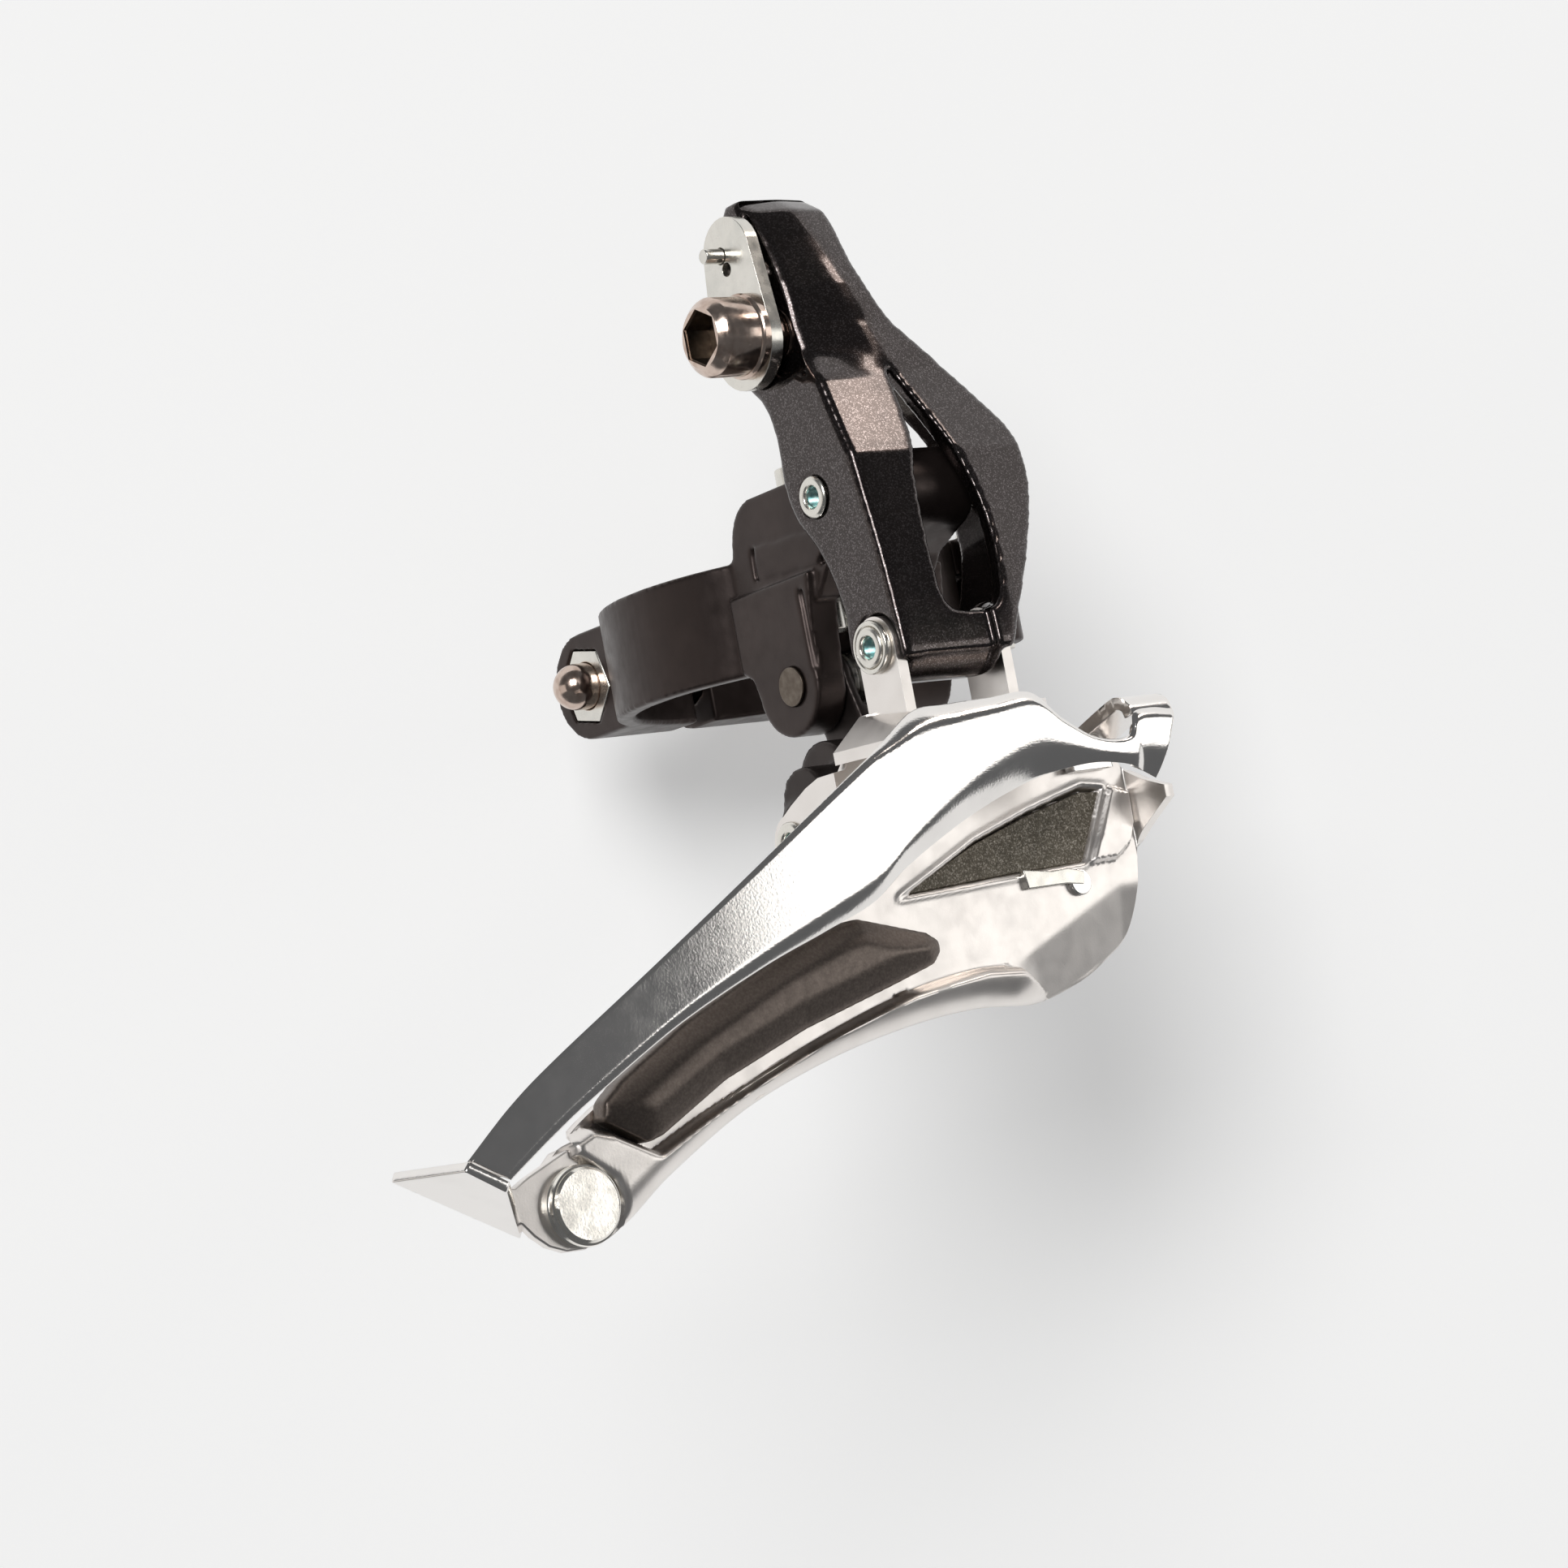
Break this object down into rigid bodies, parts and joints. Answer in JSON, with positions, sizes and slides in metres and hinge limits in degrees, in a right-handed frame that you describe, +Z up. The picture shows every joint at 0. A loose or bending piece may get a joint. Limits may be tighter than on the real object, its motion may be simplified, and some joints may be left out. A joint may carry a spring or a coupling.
{
  "type": "front derailleur",
  "caption": "Band-on front derailleur: hinged seat-tube clamp, parallelogram linkage with a tall cable arm, and a two-plate chain cage with a skid pad",
  "frame": {"origin": "centre of the seat-tube clamp bore, half way up the ring", "axes": "+Z up along the seat tube, +X to the front of the bicycle along the pivot pins, +Y to the non-drive side, so the chain cage is on the -Y side"},
  "size_m": [0.099, 0.0743, 0.0973],
  "materials": {
    "clamp_paint": "satin",
    "arm_paint": "gloss",
    "cage_plate": "polished",
    "zinc_steel": "satin",
    "nickel_bolt": "polished",
    "link_paint": "satin",
    "spring_steel": "satin",
    "pad_resin": "matte"
  },
  "bodies": {
    "base": {"clamp_body": "clamp_paint", "clamp_nut": "zinc_steel", "clamp_hinge_pin": "zinc_steel", "arm_base_rivet": "zinc_steel", "link_base_pin": "clamp_paint", "return_spring": "spring_steel"},
    "band": {"clamp_band": "clamp_paint"},
    "clamp_bolt": {"clamp_bolt": "nickel_bolt", "clamp_washer": "zinc_steel"},
    "low_screw": {"low_limit_screw": "zinc_steel"},
    "high_screw": {"high_limit_screw": "zinc_steel"},
    "arm": {"cable_arm": "arm_paint", "cable_plate_pin": "zinc_steel"},
    "pinch_plate": {"cable_plate": "zinc_steel"},
    "cable_bolt": {"cable_bolt": "nickel_bolt"},
    "inner_link": {"inner_link": "link_paint"},
    "cage": {"cage_bracket": "cage_plate", "cage_outer_plate": "cage_plate", "cage_inner_plate": "cage_plate", "skid_pad": "pad_resin", "pad_studs": "pad_resin", "arm_cage_rivet": "zinc_steel", "arm_cage_collar": "zinc_steel", "link_cage_rivet": "zinc_steel", "tail_rivet": "cage_plate", "nose_rivet": "cage_plate", "bracket_rivets": "cage_plate"}
  },
  "joints": [
    {"name": "arm_pivot", "type": "hinge", "parent": "base", "child": "arm", "pos_m": [0, -0.0309, 0.0082], "axis": [-1, 0, 0], "range_deg": [0, 38], "stiffness_Nm_per_rad": 0.15, "springref_deg": -51.57, "deforming": ["return_spring"]},
    {"name": "cage_pivot", "type": "hinge", "parent": "arm", "child": "cage", "pos_m": [0, -0.0363, -0.0078], "axis": [-1, 0, 0], "range_deg": [-38, 0]},
    {"name": "link_pivot", "type": "hinge", "parent": "base", "child": "inner_link", "pos_m": [0, -0.02, -0.0084], "axis": [-1, 0, 0], "range_deg": [0, 38]},
    {"name": "clamp_bolt_slide", "type": "slide", "parent": "base", "child": "clamp_bolt", "axis": [1, 0, 0], "range_m": [0, 0.002]},
    {"name": "band_hinge", "type": "hinge", "parent": "base", "child": "band", "pos_m": [0.01318, -0.01686, 0], "axis": [0, 0, -1], "range_deg": [0, 2.64]},
    {"name": "cable_bolt_slide", "type": "slide", "parent": "arm", "child": "cable_bolt", "axis": [-1, 0, 0], "range_m": [0, 0.0015]},
    {"name": "pinch_plate_slide", "type": "slide", "parent": "arm", "child": "pinch_plate", "axis": [-1, 0, 0], "range_m": [0, 0.0015]},
    {"name": "low_screw_turn", "type": "hinge", "parent": "base", "child": "low_screw", "pos_m": [-0.0114, -0.0215, 0], "axis": [0, 0, 1], "continuous": true},
    {"name": "high_screw_turn", "type": "hinge", "parent": "base", "child": "high_screw", "pos_m": [-0.0054, -0.0215, 0], "axis": [0, 0, 1], "continuous": true}
  ],
  "couplings": [
    {"joint": "cage_pivot", "follows": "arm_pivot", "ratio": -1},
    {"joint": "link_pivot", "follows": "arm_pivot", "ratio": 1},
    {"joint": "band_hinge", "follows": "clamp_bolt_slide", "rad_per_m": 23},
    {"joint": "pinch_plate_slide", "follows": "cable_bolt_slide", "ratio": 1}
  ]
}
